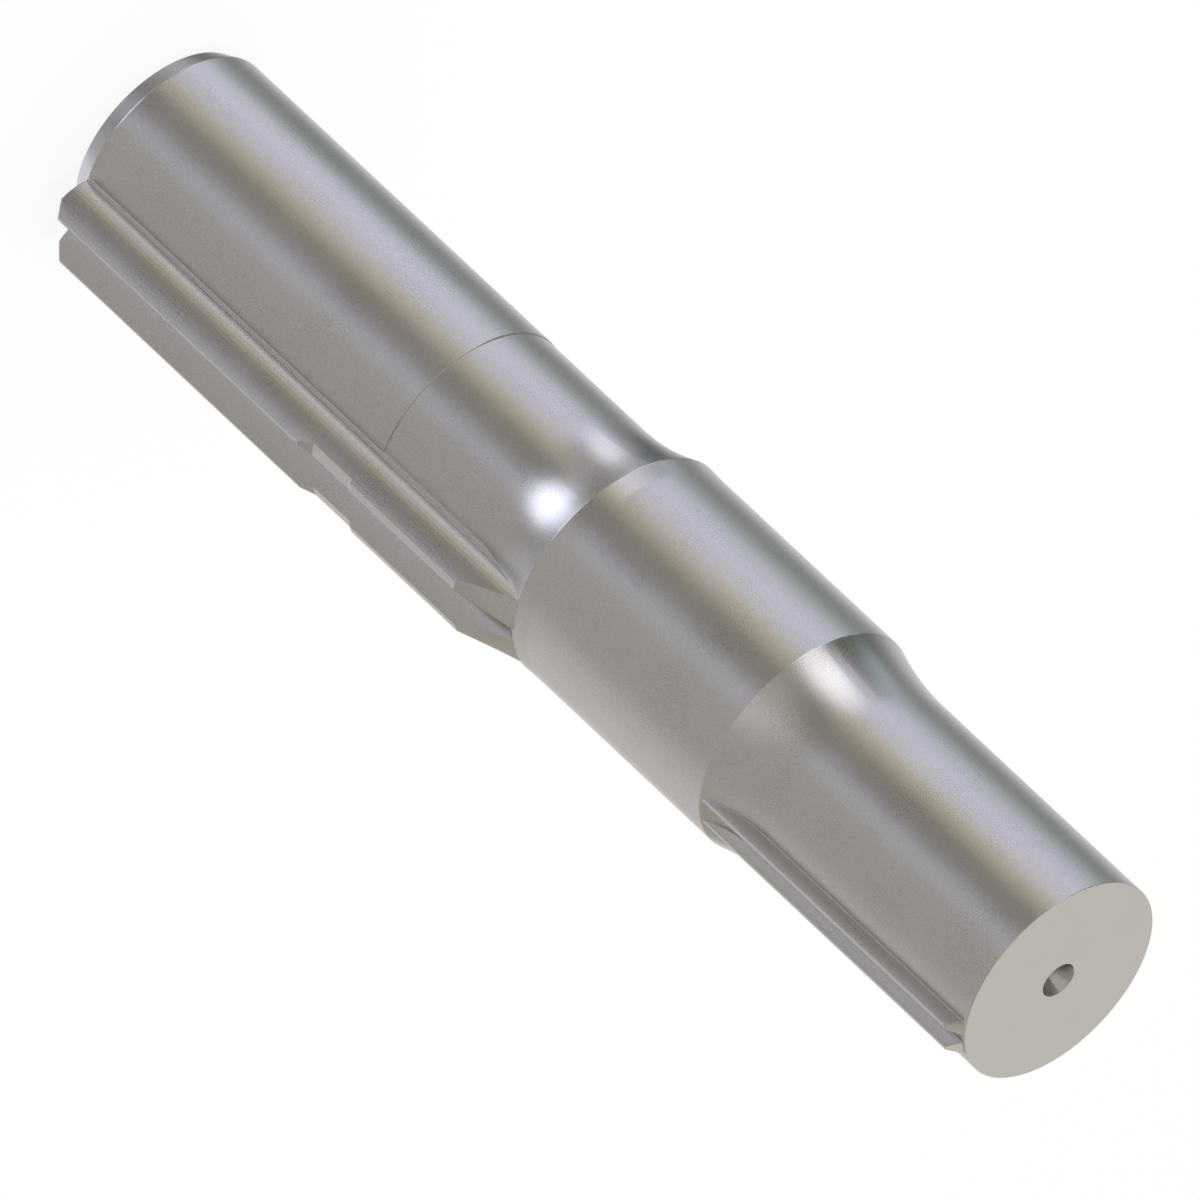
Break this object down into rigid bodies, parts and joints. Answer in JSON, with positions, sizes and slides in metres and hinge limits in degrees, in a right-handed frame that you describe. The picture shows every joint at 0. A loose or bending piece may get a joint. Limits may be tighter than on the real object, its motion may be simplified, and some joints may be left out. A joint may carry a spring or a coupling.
{
  "type": "final drive shaft",
  "caption": "One-piece steel final drive shaft with pinion teeth at one end, a ground bearing seat in the middle and an involute spline at the other end.",
  "frame": {"origin": "centre of the flat end face at the pinion end, on which the shaft stands", "axes": "+Z along the shaft's axis from the pinion end to the spline end; the gap between the two teeth of both toothed ends faces -Y"},
  "size_m": [0.0604, 0.066, 0.3157],
  "materials": {
    "shaft_steel": "satin ground and shot-peened alloy steel, unpainted, dry"
  },
  "bodies": {
    "root": {"drive_shaft": "shaft_steel"}
  },
  "joints": []
}
